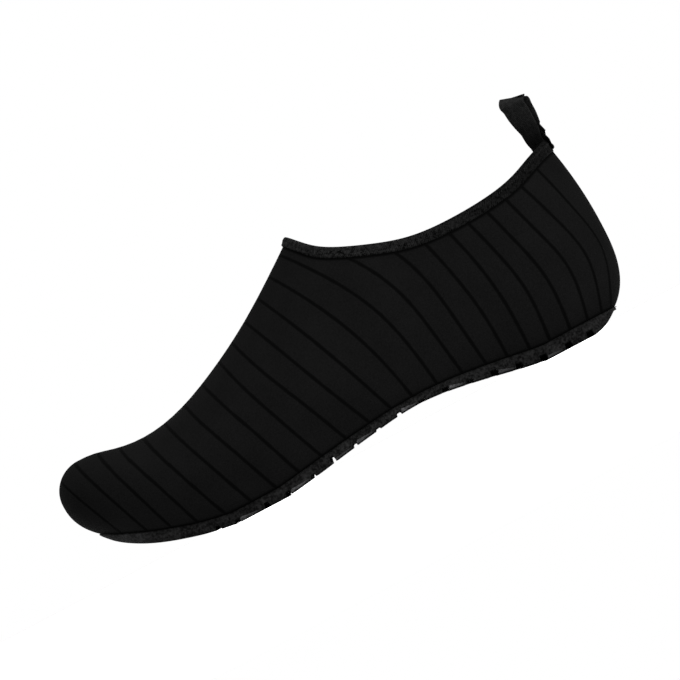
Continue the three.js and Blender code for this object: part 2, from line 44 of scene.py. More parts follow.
# The last: sizes in millimetres, and sections

last = {
    "length": 250, "ballWidth": 91, "heelWidth": 65, "toeHeight": 53.6, "instepHeight": 94,
    "ankleHeight": 69.2, "heelHeight": 80, "tipHeight": 40, "bulgeHeight": 40, "toeSpring": 20,
    "archHeight": 8.7, "inwardCurve": 9, "toeRoundness": 14, "toeLift": 0.85, "heelCentre": 38,
    "restPoint": 31.5, "wall": 1.5, "bandHeight": 5, "seamTuck": 1, "lastDepth": 6, "gap": 0.3,
}

# A row stands at a share of the length; its other columns are shares of the sizes above
lastColumns = ("at", "toe", "instep", "ball", "heel", "level", "deep", "centre", "crest", "keel", "pinch")
lastRows = [
    (0, 1, 0, 0.52, 0, 1, 0.1, -1, -1, 2.2, 0),
    (0.056, 1, 0, 0.665, 0, 0.78, 0.35, -0.9, -0.95, 2.4, 0),
    (0.08, 0.995, 0, 0.735, 0, 0.7, 0.6, -0.75, -0.92, 2.6, 0),
    (0.12, 0.951, 0, 0.835, 0, 0.6, 0.95, -0.55, -0.85, 3, 0),
    (0.184, 0.926, 0, 0.934, 0, 0.5, 1, -0.25, -0.75, 3.4, 0),
    (0.24, 0.7, 0.157, 0.98, 0, 0.46, 1, 0, -0.65, 3.6, 0.05),
    (0.32, 0.4, 0.414, 1, 0, 0.47, 1, 0.2, -0.55, 3.8, 0.12),
    (0.4, 0.15, 0.672, 0.967, 0, 0.52, 1, 0.33, -0.45, 3.8, 0.2),
    (0.48, 0, 0.9, 0.55, 0.49, 0.6, 1, 0.38, -0.3, 3.6, 0.24),
    (0.56, 0, 1.06, 0.25, 0.83, 0.68, 1, 0.33, -0.2, 3.4, 0.26),
    (0.68, 0, 1.32, 0, 1.08, 0.8, 1, 0.15, -0.08, 3.4, 0.6),
    (0.848, 0, 1.6, 0, 1, 0.95, 1, 0, 0, 3.2, 0.9),
]
heelBack = {"level": 1, "keel": 2.8, "pinch": 0.5}

soleColumns = ("at", "spring", "arch", "band")
soleRows = [
    (0.032, 1.115, 0, 0.06),
    (0.04, 1, 0, 0.4),
    (0.056, 0.82, 0, 0.72),
    (0.08, 0.63, 0, 0.96),
    (0.12, 0.4, 0, 1.08),
    (0.16, 0.235, 0, 1.08),
    (0.2, 0.105, 0, 1.04),
    (0.24, 0.02, 0, 1),
    (0.3, -0.03, 0, 1),
    (0.36, 0, 0.09, 1.02),
    (0.44, 0, 0.45, 0.96),
    (0.52, 0, 0.8, 0.82),
    (0.6, 0, 1, 0.72),
    (0.68, 0, 0.76, 0.9),
    (0.76, 0, 0.31, 1.14),
    (0.82, 0, 0, 1.24),
    (0.88, 0, -0.08, 1.28),
    (1, 0, -0.08, 1.28),
]

collarColumns = ("at", "front", "side", "back")
collarRows = [
    (0.5, 1.42, -0.42, 0),
    (0.536, 1, 0, 0),
    (0.56, 0.72, 0.28, 0),
    (0.6, 0.444, 0.556, 0),
    (0.64, 0.27, 0.73, 0),
    (0.7, 0.073, 0.927, 0),
    (0.78, 0, 1, 0),
    (0.84, 0, 0.935, 0.065),
    (0.9, 0, 0.667, 0.333),
    (0.94, 0, 0.3, 0.7),
    (0.98, 0, 0, 1),
    (1.02, 0, -0.1, 1.1),
]


def mix(a, b, t):
    return a + (b - a) * t


def curveThrough(x, y):
    # a natural cubic spline that runs on straight past its ends
    x, y = np.asarray(x, float), np.asarray(y, float)
    count = len(x)
    gap = np.diff(x)
    rise = np.diff(y) / gap
    left = np.eye(count)
    right = np.zeros(count)
    for i in range(1, count - 1):
        left[i, i - 1:i + 2] = gap[i - 1], 2 * (gap[i - 1] + gap[i]), gap[i]
        right[i] = 6 * (rise[i] - rise[i - 1])
    bend = np.linalg.solve(left, right)
    startSlope = rise[0] - gap[0] * bend[1] / 6
    endSlope = rise[-1] + gap[-1] * bend[-2] / 6

    def curve(t):
        t = np.asarray(t, float)
        inside = np.clip(t, x[0], x[-1])
        i = np.clip(np.searchsorted(x, inside, side="right") - 1, 0, count - 2)
        a = (x[i + 1] - inside) / gap[i]
        b = 1 - a
        cubic = (a ** 3 - a) * bend[i] + (b ** 3 - b) * bend[i + 1]
        value = a * y[i] + b * y[i + 1] + cubic * gap[i] ** 2 / 6
        value = value + np.minimum(t - x[0], 0) * startSlope
        return value + np.maximum(t - x[-1], 0) * endSlope

    return curve


def overLength(columns, rows, **sizes):
    # a curve over the length: the named columns, each times its size, added up
    named = [dict(zip(columns, row)) for row in rows]
    sums = [sum(row[column] * size for column, size in sizes.items()) for row in named]
    curve = curveThrough([row["at"] for row in named], sums)
    return lambda s: curve(np.asarray(s, float) / last["length"])


topAt = overLength(lastColumns, lastRows, toe=last["toeHeight"], instep=last["instepHeight"])
halfAt = overLength(lastColumns, lastRows, ball=last["ballWidth"] / 2, heel=last["heelWidth"] / 2)
levelAt = overLength(lastColumns, lastRows, level=last["bulgeHeight"])
deepAt = overLength(lastColumns, lastRows, deep=last["lastDepth"])
centreAt = overLength(lastColumns, lastRows, centre=last["inwardCurve"])
crestAt = overLength(lastColumns, lastRows, crest=last["inwardCurve"])
keelAt = overLength(lastColumns, lastRows, keel=1)
pinchAt = overLength(lastColumns, lastRows, pinch=1)
undersideAt = overLength(soleColumns, soleRows, spring=last["toeSpring"], arch=last["archHeight"])
bandAt = overLength(soleColumns, soleRows, band=last["bandHeight"])
collarAt = overLength(
    collarColumns, collarRows,
    front=last["instepHeight"], side=last["ankleHeight"], back=last["heelHeight"],
)
heelAxis = last["length"] - last["heelCentre"]


def groundAt(s):
    return np.maximum(0, undersideAt(s))


def seamAt(s):
    return groundAt(s) + bandAt(s)


def hemAt(s):
    # the upper's lower edge, tucked into the sole
    return seamAt(s) - last["seamTuck"]


def bedAt(s):
    return hemAt(s) - last["gap"]


def toX(s):
    return last["length"] - last["restPoint"] - s


def distanceFromToe(points):
    # toX undoes itself
    return toX(points[..., 0])


def slopeOf(curve, s):
    return curve(s + 0.5) - curve(s - 0.5)


def lowered(curve, distance):
    # a curve over s moved down square to itself
    def under(s):
        amount = distance(s) if callable(distance) else distance
        return curve(s) - amount * np.hypot(1, slopeOf(curve, s))
    return under


def skinPoint(station, angle):
    # station 0 to 1 closes the toe, 1 to 2 runs along the foot, 2 to 3 swings round the heel
    station, angle = np.broadcast_arrays(np.asarray(station, float), np.asarray(angle, float))
    quarter = math.pi / 2
    toePart = np.clip(station, 0, 1) * quarter
    cap = np.sin(toePart)
    inToe = last["toeRoundness"] * (1 - np.cos(toePart))
    s = np.where(station <= 1, inToe, mix(last["toeRoundness"], heelAxis, np.clip(station - 1, 0, 1)))
    turn = np.clip(station - 2, 0, 1) * quarter
    back = np.sin(turn) ** 2
    side = np.maximum(halfAt(s) * cap, 1e-9)
    half = 1 / np.hypot(np.cos(turn) / side, np.sin(turn) / last["heelCentre"])
    bottom = mix(last["tipHeight"], seamAt(s) - deepAt(s), np.maximum(cap, 0) ** last["toeLift"])
    top = mix(last["tipHeight"], topAt(s), cap)
    level = mix(levelAt(s), heelBack["level"] * last["bulgeHeight"], back)
    keel = mix(keelAt(s), heelBack["keel"], back)
    pinch = mix(pinchAt(s), heelBack["pinch"], back)
    cosine, sine = np.cos(angle), np.sin(angle)
    power = 2 / keel
    under = sine < 0
    reach = half * np.where(under, np.abs(cosine) ** power, np.abs(cosine) * (1 - pinch * sine * sine))
    z = np.where(under, level - (level - bottom) * np.abs(sine) ** power, mix(level, top, sine))
    middle = np.where(under, centreAt(s), mix(centreAt(s), crestAt(s), sine * sine))
    across = np.where(cosine < 0, -1, 1) * reach * np.cos(turn)
    return np.stack([toX(s + reach * np.sin(turn)), middle + across, z], axis=-1)


def unit(vectors):
    return vectors / np.maximum(np.linalg.norm(vectors, axis=-1, keepdims=True), 1e-12)


def skinNormal(station, angle):
    # from short steps on the skin, kept just off the tip, where it closes in a point
    tip, step = 0.01, 0.02
    low, high = np.clip(station - step, tip, 3), np.clip(station + step, tip, 3)
    along = skinPoint(high, angle) - skinPoint(low, angle)
    inside = np.maximum(station, tip)
    around = skinPoint(inside, angle + step) - skinPoint(inside, angle - step)
    return unit(np.cross(along, around))


# How often a search halves its range
halvings = 42


def skinAngle(station, level, side, lower):
    # where the skin meets a level on one side; the pole's own angle where it doesn't
    quarter = math.pi / 2
    low = np.full(np.shape(station), -quarter if lower else 0.0)
    high = np.full(np.shape(station), 0.0 if lower else quarter)
    for _ in range(halvings):
        middle = (low + high) / 2
        point = skinPoint(station, middle if side > 0 else math.pi - middle)
        above = point[..., 2] > level(distanceFromToe(point))
        high = np.where(above, middle, high)
        low = np.where(above, low, middle)
    middle = (low + high) / 2
    return middle if side > 0 else math.pi - middle


def firstStation(level, lower):
    # the station at which the skin's pole first crosses a level
    pole = -math.pi / 2 if lower else math.pi / 2
    low, high = (0, 1) if lower else (1, 2)
    for _ in range(halvings):
        middle = (low + high) / 2
        point = skinPoint(middle, pole)
        above = point[..., 2] > level(distanceFromToe(point))
        if above == lower:
            low = middle
        else:
            high = middle
    return high


def evenFrom(share, start=0.3):
    # steps that grow up to a share of the way and are even from there
    growing = share * share / (start * (2 - start))
    return np.where(share < start, growing, (share - start / 2) / (1 - start / 2))


def levelRing(level, lower, count):
    # the closed line in which a level cuts the skin: left side to the back, then the right side
    front = firstStation(level, lower)
    share = evenFrom(np.linspace(0, 1, count + 1))
    station = mix(front, 3, share)
    sides = []
    for side in (1, -1):
        angle = skinAngle(station, level, side, lower)
        sides.append((skinPoint(station, angle), skinNormal(station, angle)))
    (left, leftNormal), (right, rightNormal) = sides
    for end in (0, -1):
        left[end] = right[end] = (left[end] + right[end]) / 2
        normal = leftNormal[end] + rightNormal[end]
        normal[1] = 0
        leftNormal[end] = rightNormal[end] = unit(normal)
    points = np.concatenate([left, right[1:-1][::-1]])
    return points, np.concatenate([leftNormal, rightNormal[1:-1][::-1]])


# Meshes

def gridFaces(rows, columns, start=0, closedRows=False, closedColumns=False):
    faces = []
    for i in range(rows if closedRows else rows - 1):
        for j in range(columns if closedColumns else columns - 1):
            nextRow, nextColumn = (i + 1) % rows, (j + 1) % columns
            faces.append((
                start + i * columns + j, start + i * columns + nextColumn,
                start + nextRow * columns + nextColumn, start + nextRow * columns + j,
            ))
    return faces


def joined(patches):
    # grids of points, each with its values behind its place, as one list with faces
    rows, faces = [], []
    for grid, flip in patches:
        start = sum(len(part) for part in rows)
        rows.append(grid.reshape(-1, grid.shape[2]))
        patch = gridFaces(grid.shape[0], grid.shape[1], start)
        faces += [tuple(reversed(face)) for face in patch] if flip else patch
    return np.concatenate(rows), faces


# Points closer than one part of this many in a millimetre become one
weldParts = 10000


def welded(points, faces, values=None):
    keys = np.round(points * weldParts).astype(np.int64)
    first, place = np.unique(keys, axis=0, return_index=True, return_inverse=True)[1:]
    place = place.reshape(-1)
    clean = []
    for face in faces:
        corners = []
        for corner in face:
            if place[corner] not in corners:
                corners.append(int(place[corner]))
        if len(corners) > 2:
            clean.append(tuple(corners))
    return points[first], clean, None if values is None else values[first]


def shellOf(points, normals, faces, thickness):
    # a second skin inside the first, and a strip along every open edge
    count = len(points)
    edges = dict.fromkeys(pair for face in faces for pair in zip(face, face[1:] + face[:1]))
    rim = [(b, a, a + count, b + count) for a, b in edges if (b, a) not in edges]
    inner = [tuple(corner + count for corner in reversed(face)) for face in faces]
    both = np.concatenate([points, points - normals * thickness])
    return both, list(faces) + rim + inner, len(faces) + len(rim)


def linked(name, data):
    # a new object in the scene
    thing = bpy.data.objects.new(name, data)
    bpy.context.scene.collection.objects.link(thing)
    return thing


def makePiece(name, points, faces, materials, uv=None, attributes=(), inner=None, sharp=None):
    mesh = bpy.data.meshes.new(name)
    mesh.from_pydata((np.asarray(points) * toMetres).tolist(), [], faces)
    corners = np.empty(len(mesh.loops), np.int32)
    mesh.loops.foreach_get("vertex_index", corners)
    if uv is not None:
        layer = mesh.uv_layers.new(name="weave")
        layer.data.foreach_set("uv", np.asarray(uv, np.float32)[corners].reshape(-1))
    for label, values in attributes:
        layer = mesh.attributes.new(label, "FLOAT", "POINT")
        layer.data.foreach_set("value", np.asarray(values, np.float32))
    for material in materials:
        mesh.materials.append(material)
    if inner is not None:
        index = np.zeros(len(mesh.polygons), np.int32)
        index[inner:] = 1
        mesh.polygons.foreach_set("material_index", index)
    mesh.polygons.foreach_set("use_smooth", np.ones(len(mesh.polygons), bool))
    if sharp is not None:
        mesh.set_sharp_from_angle(angle=math.radians(sharp))
    mesh.update()
    piece = linked(name, mesh)
    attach(piece, "root")
    return piece


# Shader maths

class Socket:
    def __init__(self, tree, socket):
        self.tree = tree
        self.socket = socket

    def maths(self, operation, *others, **settings):
        node = self.tree.nodes.new("ShaderNodeMath")
        node.operation = operation
        for key, value in settings.items():
            setattr(node, key, value)
        for slot, value in zip(node.inputs, (self, *others)):
            if isinstance(value, Socket):
                self.tree.links.new(value.socket, slot)
            else:
                slot.default_value = value
        return Socket(self.tree, node.outputs[0])

    def __add__(self, other):
        return self.maths("ADD", other)

    def __sub__(self, other):
        return self.maths("SUBTRACT", other)

    def __rsub__(self, other):
        return self.maths("MULTIPLY", -1.0).maths("ADD", other)

    def __mul__(self, other):
        return self.maths("MULTIPLY", other)

    def __truediv__(self, other):
        return self.maths("DIVIDE", other)

    def absolute(self):
        return self.maths("ABSOLUTE")

    def fraction(self):
        return self.maths("FRACT")

    def sine(self):
        return self.maths("SINE")

    def larger(self, other):
        return self.maths("MAXIMUM", other)

    def step(self, low, high):
        # 0 up to the low value, 1 from the high value on, and even between them
        return ((self - low) / (high - low)).maths("ADD", 0.0, use_clamp=True)


class Shader:
    def __init__(self, name):
        self.material = bpy.data.materials.new(name)
        self.material.use_nodes = True
        self.tree = self.material.node_tree
        self.surface = self.tree.nodes["Principled BSDF"]

    def add(self, kind, settings=None, **values):
        node = self.tree.nodes.new(kind)
        for key, value in (settings or {}).items():
            setattr(node, key, value)
        for key, value in values.items():
            self.put(node.inputs[key.replace("_", " ")], value)
        return node

    def put(self, slot, value):
        if isinstance(value, Socket):
            self.tree.links.new(value.socket, slot)
        else:
            slot.default_value = value

    def out(self, node, name):
        return Socket(self.tree, node.outputs[name])

    def place(self):
        return self.out(self.add("ShaderNodeTexCoord"), "Object")

    def noise(self, scale, detail=2.0, rough=0.5):
        settings = {"Scale": scale, "Detail": detail, "Roughness": rough}
        return self.out(self.add("ShaderNodeTexNoise", Vector=self.place(), **settings), "Fac")

    def attribute(self, name):
        return self.out(self.add("ShaderNodeAttribute", {"attribute_name": name}), "Fac")

    def weave(self):
        layer = self.add("ShaderNodeUVMap", {"uv_map": "weave"})
        parts = self.add("ShaderNodeSeparateXYZ", Vector=self.out(layer, "UV"))
        return self.out(parts, "X"), self.out(parts, "Y")

    def between(self, low, high, share):
        # from one colour to another, each a socket or three numbers, in the Mix node's colour slots
        node = self.add("ShaderNodeMix", {"data_type": "RGBA"})
        for slot, value in ((0, share), (6, low), (7, high)):
            self.put(node.inputs[slot], value if isinstance(value, Socket) else (*value, 1))
        return Socket(self.tree, node.outputs[2])

    def bump(self, height, distance, strength=1.0):
        node = self.add("ShaderNodeBump", Height=height, Distance=distance, Strength=strength)
        return self.out(node, "Normal")

    def finish(self, **values):
        for key, value in values.items():
            self.put(self.surface.inputs[key.replace("_", " ")], value)
        return self.material


# Materials

def grey(level):
    return level, level, level


# Widths and fades are in millimetres; the line colour also serves the painted shade above the sole seam
# and under the binding
knitLook = {
    "fabric": grey(0.0019), "light": grey(0.0044), "line": grey(0.0008), "lineWidth": 1.35,
    "lineBlur": 0.3, "waver": 0.35, "lineShare": 0.92, "seamShadeFade": (0.3, 1.3), "bindingShadeFade": (0.5, 1.3),
    "gloss": 1.03,
}


def knitMaterial():
    shader = Shader("ridged_knit")
    # the weave holds the line's number and the distance between lines in centimetres
    index, pitch = shader.weave()
    away = ((index + 0.5).fraction() - 0.5).absolute() * pitch * 10
    waver = (shader.noise(260, 1.0) - 0.5) * knitLook["waver"]
    half, blur = knitLook["lineWidth"] / 2, knitLook["lineBlur"]
    line = 1 - (away + waver).step(half - blur, half + blur)
    line = line * index.step(-0.6, -0.5)
    grain = shader.noise(1500, 3.0, 0.7)
    cloud = shader.noise(60, 2.0, 0.5)
    share = (grain * 1.4 + cloud * 0.5 - 0.65).step(0.0, 1.0)
    cloth = shader.between(knitLook["fabric"], knitLook["light"], share)
    # painted shade: the knit is drawn dark in a thin band just above the seam with the sole and another
    # just under the binding's edge
    seam = 1 - shader.attribute("seamShade").step(*knitLook["seamShadeFade"])
    bindingShade = 1 - shader.attribute("bindingShade").step(*knitLook["bindingShadeFade"])
    dark = line.larger(seam).larger(bindingShade) * knitLook["lineShare"]
    return shader.finish(
        Base_Color=shader.between(cloth, knitLook["line"], dark), Roughness=0.8, IOR=knitLook["gloss"],
        Normal=shader.bump(grain * 0.35 - line, 0.00025, 0.8),
    )


liningLook = {"low": (0.004, 0.004, 0.0042), "high": (0.009, 0.009, 0.0094)}


def liningMaterial():
    shader = Shader("plain_lining")
    grain = shader.noise(1100, 2.0, 0.6)
    tone = shader.between(liningLook["low"], liningLook["high"], grain)
    return shader.finish(Base_Color=tone, Roughness=0.9, IOR=1.06, Normal=shader.bump(grain, 0.0002, 0.6))


# Ribs to the centimetre along the tape, and how strongly the yarn's speckle shows
bindingLook = {"low": grey(0.0002), "high": grey(0.0085), "ribs": 11, "speckle": 5.0}
loopLook = {"low": grey(0.0015), "high": grey(0.012), "ribs": 16, "speckle": 2.2}
tapeLook = {"slant": 2.2, "ribShare": 0.3, "base": 0.35, "shadeShare": 0.85}


def tapeMaterial(name, low, high, ribs, speckle):
    shader = Shader(name)
    along, across = shader.weave()
    rib = ((along * ribs + across * tapeLook["slant"]) * 2 * math.pi).sine() * 0.5 + 0.5
    fine = shader.noise(1900, 3.0, 0.7)
    coarse = shader.noise(750, 2.0, 0.6)
    grain = fine * 0.5 + coarse * 0.5
    share = ((grain - 0.5) * speckle + rib * tapeLook["ribShare"] + tapeLook["base"]).step(0.0, 1.0)
    # painted shade: the tape is drawn darker where the piece's shade value is high
    share = share * (1 - shader.attribute("shade") * tapeLook["shadeShare"])
    return shader.finish(
        Base_Color=shader.between(low, high, share), Roughness=0.75, IOR=1.05,
        Normal=shader.bump(rib * 0.6 + grain * 0.5, 0.00025, 0.9),
    )


# Rubber colours: a speckled tone, a much lighter painted highlight and a near-black painted shade
rubberLook = {
    "low": grey(0.0012), "high": grey(0.018), "edge": grey(0.0015),
    "paintedHighlightLow": (0.03, 0.03, 0.031), "paintedHighlightHigh": (0.13, 0.13, 0.133),
}


def rubberMaterial():
    shader = Shader("moulded_rubber")
    speck = shader.noise(900, 3.0, 0.75)
    patch = shader.noise(140, 2.0, 0.5)
    share = (speck * 1.9 + patch * 0.8 - 1.15).step(0.0, 1.0)
    plain = shader.between(rubberLook["low"], rubberLook["high"], share)
    # painted highlight: bevelled lug faces and the lip near the toe are drawn much lighter, standing in
    # for floor light caught on them
    paintedHighlight = shader.between(rubberLook["paintedHighlightLow"], rubberLook["paintedHighlightHigh"], share)
    bright = shader.between(plain, paintedHighlight, shader.attribute("bevel").step(0.05, 0.95))
    # painted shade: where the edge value is high the rubber is drawn near black, under the upper, in
    # grooves and along the bottom edge
    dark = shader.between(bright, rubberLook["edge"], shader.attribute("edge").step(0.2, 0.9))
    return shader.finish(
        Base_Color=dark, Roughness=speck * 0.3 + 0.5, IOR=1.06, Normal=shader.bump(speck, 0.0002, 0.7),
    )


threadLook = {"low": grey(0.0008), "high": grey(0.011)}


def threadMaterial():
    shader = Shader("dark_thread")
    grain = shader.noise(2500, 1.0)
    tone = shader.between(threadLook["low"], threadLook["high"], grain.step(0.35, 0.65))
    return shader.finish(Base_Color=tone, Roughness=0.6, IOR=1.05)


knit = knitMaterial()
lining = liningMaterial()
bindingTape = tapeMaterial("ribbed_tape", **bindingLook)
loopTape = tapeMaterial("woven_tape", **loopLook)
rubber = rubberMaterial()
thread = threadMaterial()
print("materials made")

# The binding's sizes, which the upper's look needs too, and its painted shade, darker towards the heel

binding = {
    "front": 4.5, "back": 5.8, "steps": 170, "ribRow": 9, "lift": 0.9, "pressed": 0.5, "loopReach": 8,
    "dimmed": 0.75, "dimFrom": 150, "dimLength": 80,
}


def bindingHeight(s):
    return mix(binding["front"], binding["back"], np.clip(2 * s / last["length"] - 1, 0, 1))


# Upper

upper = {
    "toeSteps": 16, "ballSteps": 30, "footSteps": 48, "collarSteps": 56, "heelSteps": 36, "around": 54,
    "ballEnd": 1.35, "rimDrop": 1.2, "leastFacing": 0.3, "mouthFrom": 0.4, "mouthFar": 9,
}

# Where each dark line stands, in millimetres from the toe tip, at five heights above the floor
stripeHeights = (10, 30, 50, 70, 90)
stripeRows = [
    (21.5, 13, 4, -3.5, -11),
    (30, 22, 14, 7.5, 1),
    (38, 31, 24, 20, 16),
    (47.5, 40, 32, 27, 22),
    (58, 50, 42.5, 37, 32),
    (69.5, 61.5, 53.5, 47.5, 42),
    (81, 73, 65, 60, 56),
    (92.5, 85, 77, 70, 63.5),
    (104, 96, 88.5, 82.5, 76),
    (116.5, 108, 99, 92, 86),
    (128.5, 119.5, 111, 102.5, 94),
    (139, 131.5, 123.5, 114.5, 105),
    (148.5, 144, 137, 127, 115),
    (159.5, 156.5, 151, 140.5, 126.5),
    (170.5, 167.5, 163.5, 154, 138.5),
    (180.5, 178, 175, 167.5, 154),
    (189.5, 188.5, 185, 179.5, 171),
    (199, 198.5, 195.5, 190, 183),
    (208, 208.5, 204.5, 198.5, 191),
    (217.5, 218, 213.5, 207.5, 200),
    (226, 228, 223, 217, 210),
    (233, 237, 232.5, 225.5, 217),
    (238, 244.5, 241.5, 236, 228.5),
]


def stripeField(points, normals):
    # the line's number at each point, and the distance between lines on the skin there, square to them
    s, z = distanceFromToe(points), points[:, 2]
    lines = [curveThrough(stripeHeights, row) for row in stripeRows]
    place = np.stack([line(z) for line in lines])
    lean = np.stack([slopeOf(line, z) for line in lines])
    count = len(lines)
    k = np.clip((place < s).sum(axis=0) - 1, 0, count - 2)
    rows = np.arange(len(s))
    low, high = place[k, rows], place[k + 1, rows]
    share = (s - low) / (high - low)
    tilt = mix(lean[k, rows], lean[k + 1, rows], np.clip(share, 0, 1))
    # places are measured from the side, so steps on the skin are longer where it faces backwards
    facing = np.sqrt(np.maximum(1 - unit(normals)[:, 0] ** 2, upper["leastFacing"] ** 2))
    # the number stops half a step past the last line, so that no more lines follow
    return np.minimum(k + share, count - 0.5), (high - low) / np.hypot(1, tilt) / facing


def upperStations(openFrom, throat):
    # crowded where the opening for the sole begins and where the throat does
    ballEnd = upper["ballEnd"]
    return np.unique(np.concatenate([
        np.linspace(0, openFrom, upper["toeSteps"]),
        openFrom + (ballEnd - openFrom) * np.linspace(0, 1, upper["ballSteps"]) ** 1.6,
        np.linspace(ballEnd, throat, upper["footSteps"]),
        throat + (2 - throat) * np.linspace(0, 1, upper["collarSteps"]) ** 1.8,
        np.linspace(2, 3, upper["heelSteps"]),
    ]))


def makeUpper():
    rim = lowered(collarAt, upper["rimDrop"])
    stations = upperStations(firstStation(hemAt, True), firstStation(rim, False))
    share = np.linspace(0, 1, upper["around"])
    patches = []
    for side in (1, -1):
        low = skinAngle(stations, hemAt, side, True)
        high = skinAngle(stations, rim, side, False)
        angle = mix(low[:, None], high[:, None], share[None, :])
        station = np.broadcast_to(stations[:, None], angle.shape)
        grid = np.concatenate([skinPoint(station, angle), skinNormal(station, angle)], axis=2)
        patches.append((grid, side > 0))
    rows, faces = joined(patches)
    points, faces, normals = welded(rows[:, :3], faces, rows[:, 3:])
    skin, faces, inner = shellOf(points, normals, faces, last["wall"])
    number, pitch = stripeField(points, normals)
    uv = np.tile(np.stack([number, pitch / 10], axis=1), (2, 1))
    s = distanceFromToe(points)
    # heights above the sole seam and distances below the binding's lower edge, which place the painted
    # shade at both; none is painted under the binding on the front part
    mouthLine = lowered(collarAt, bindingHeight)
    below = (mouthLine(s) - points[:, 2]) / np.hypot(1, slopeOf(mouthLine, s))
    below = np.where(s < upper["mouthFrom"] * last["length"], upper["mouthFar"], below)
    looks = [("seamShade", np.tile(points[:, 2] - seamAt(s), 2)), ("bindingShade", np.tile(below, 2))]
    piece = makePiece("knit_upper", skin, faces, [knit, lining], uv, looks, inner)
    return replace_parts(piece, "upper")


makeUpper()
print("upper made")

# Collar binding

# The tape's section: how far down from its top edge, as a share of its height,
# and how far off the upper's skin in millimetres
bindingSection = [
    (1.0, 0.05), (0.98, 0.5), (0.93, 0.8), (0.85, 0.92), (0.78, 0.9), (0.7, 1.0), (0.58, 1.12),
    (0.45, 1.2), (0.3, 1.22), (0.19, 1.14), (0.11, 0.92), (0.07, 0.4), (0.05, -0.75), (0.07, -2.05),
    (0.14, -2.6), (0.3, -2.75), (0.7, -2.7), (0.95, -2.55), (1.0, -1.6), (0.6, -0.9),
]


def collarRing(down, out):
    # a line round the collar, at a share of the binding's height and off the skin
    level = lowered(collarAt, lambda s: down * bindingHeight(s))
    points, normals = levelRing(level, False, binding["steps"])
    fromLoop = np.hypot(points[:, 0] - points[:, 0].min(), points[:, 1])
    near = np.exp(-(fromLoop / binding["loopReach"]) ** 4)
    # at the loop the tape is pressed flat under its foot and stands a little higher
    points = points + normals * out * (1 - binding["pressed"] * near[:, None] * (out > 0))
    points[:, 2] += binding["lift"] * (1 - down) * near
    return points, normals


def ringLength(points):
    # how far along a closed line each of its points lies, and its whole length
    steps = np.linalg.norm(np.diff(points, axis=0, append=points[:1]), axis=1)
    return np.concatenate([[0], np.cumsum(steps)[:-1]]), steps.sum()


def makeBinding():
    rings = [collarRing(down, out)[0] for down, out in bindingSection]
    along = ringLength(rings[binding["ribRow"]])[0]
    count = len(along)
    points = np.concatenate(rings)
    faces = [tuple(reversed(face)) for face in gridFaces(len(rings), count, 0, True, True)]
    share = np.repeat([down for down, out in bindingSection], count)
    uv = np.stack([np.tile(along / 10, len(rings)), share], axis=1)
    # painted shade: the tape is drawn darker towards the heel
    dim = np.clip((distanceFromToe(points) - binding["dimFrom"]) / binding["dimLength"], 0, 1)
    shade = [("shade", binding["dimmed"] * dim)]
    piece = makePiece("ribbed_binding", points, faces, [bindingTape], uv, shade)
    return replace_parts(piece, "collar_binding")


makeBinding()
print("binding made")

# Pull loop

loop = {
    "width": 12, "rise": 21.9, "bulge": 2.0, "turn": 55, "tilt": 22, "lean": 2.4, "thick": 0.6,
    "off": 0.95, "sewn": 0.18, "foot": 0.85, "pinch": 0.3, "turnStart": 0.3, "turnFull": 0.8,
    "turnEnd": 0.1, "outerTurn": 0.3, "seat": 0.2, "slack": 0.9, "ease": 0.9, "steps": 72,
    "shade": (0.1, 0.5),
}
# Half the loop from foot to top: share of the rise, of the bulge, of the turn and of the lean
loopHalf = [
    (0, 0.3, 0.49, 0),
    (0.1, 0.35, 0.55, 0.33),
    (0.26, 0.43, 0.65, 0.52),
    (0.42, 0.58, 0.8, 0.66),
    (0.65, 0.86, 0.94, 0.82),
    (0.8, 1.0, 0.97, 0.9),
    (0.93, 0.85, 1, 0.96),
    (1, 0, 1, 1),
]
# The tape's section: shares of half its width and of half its thickness
tapeSection = [
    (-1, 0), (-0.985, -0.6), (-0.95, -0.95), (-0.9, -1), (0, -1), (0.9, -1), (0.95, -0.95), (0.985, -0.6),
]
tapeSection += [(-across, -up) for across, up in tapeSection]


def loopSeat():
    # the middle between the feet at the heel's back, the ways out and up, and half the feet's distance
    station = np.array(3.0)
    angle = skinAngle(station, collarAt, 1, False)
    outward = skinNormal(station, angle)
    outward[1] = 0
    outward = unit(outward)
    up = np.array([-outward[2], 0, outward[0]])
    up = up if up[2] > 0 else -up
    middle = (-last["wall"] - loop["slack"]) / 2
    return skinPoint(station, angle) + outward * middle, outward, up, loop["off"] - middle


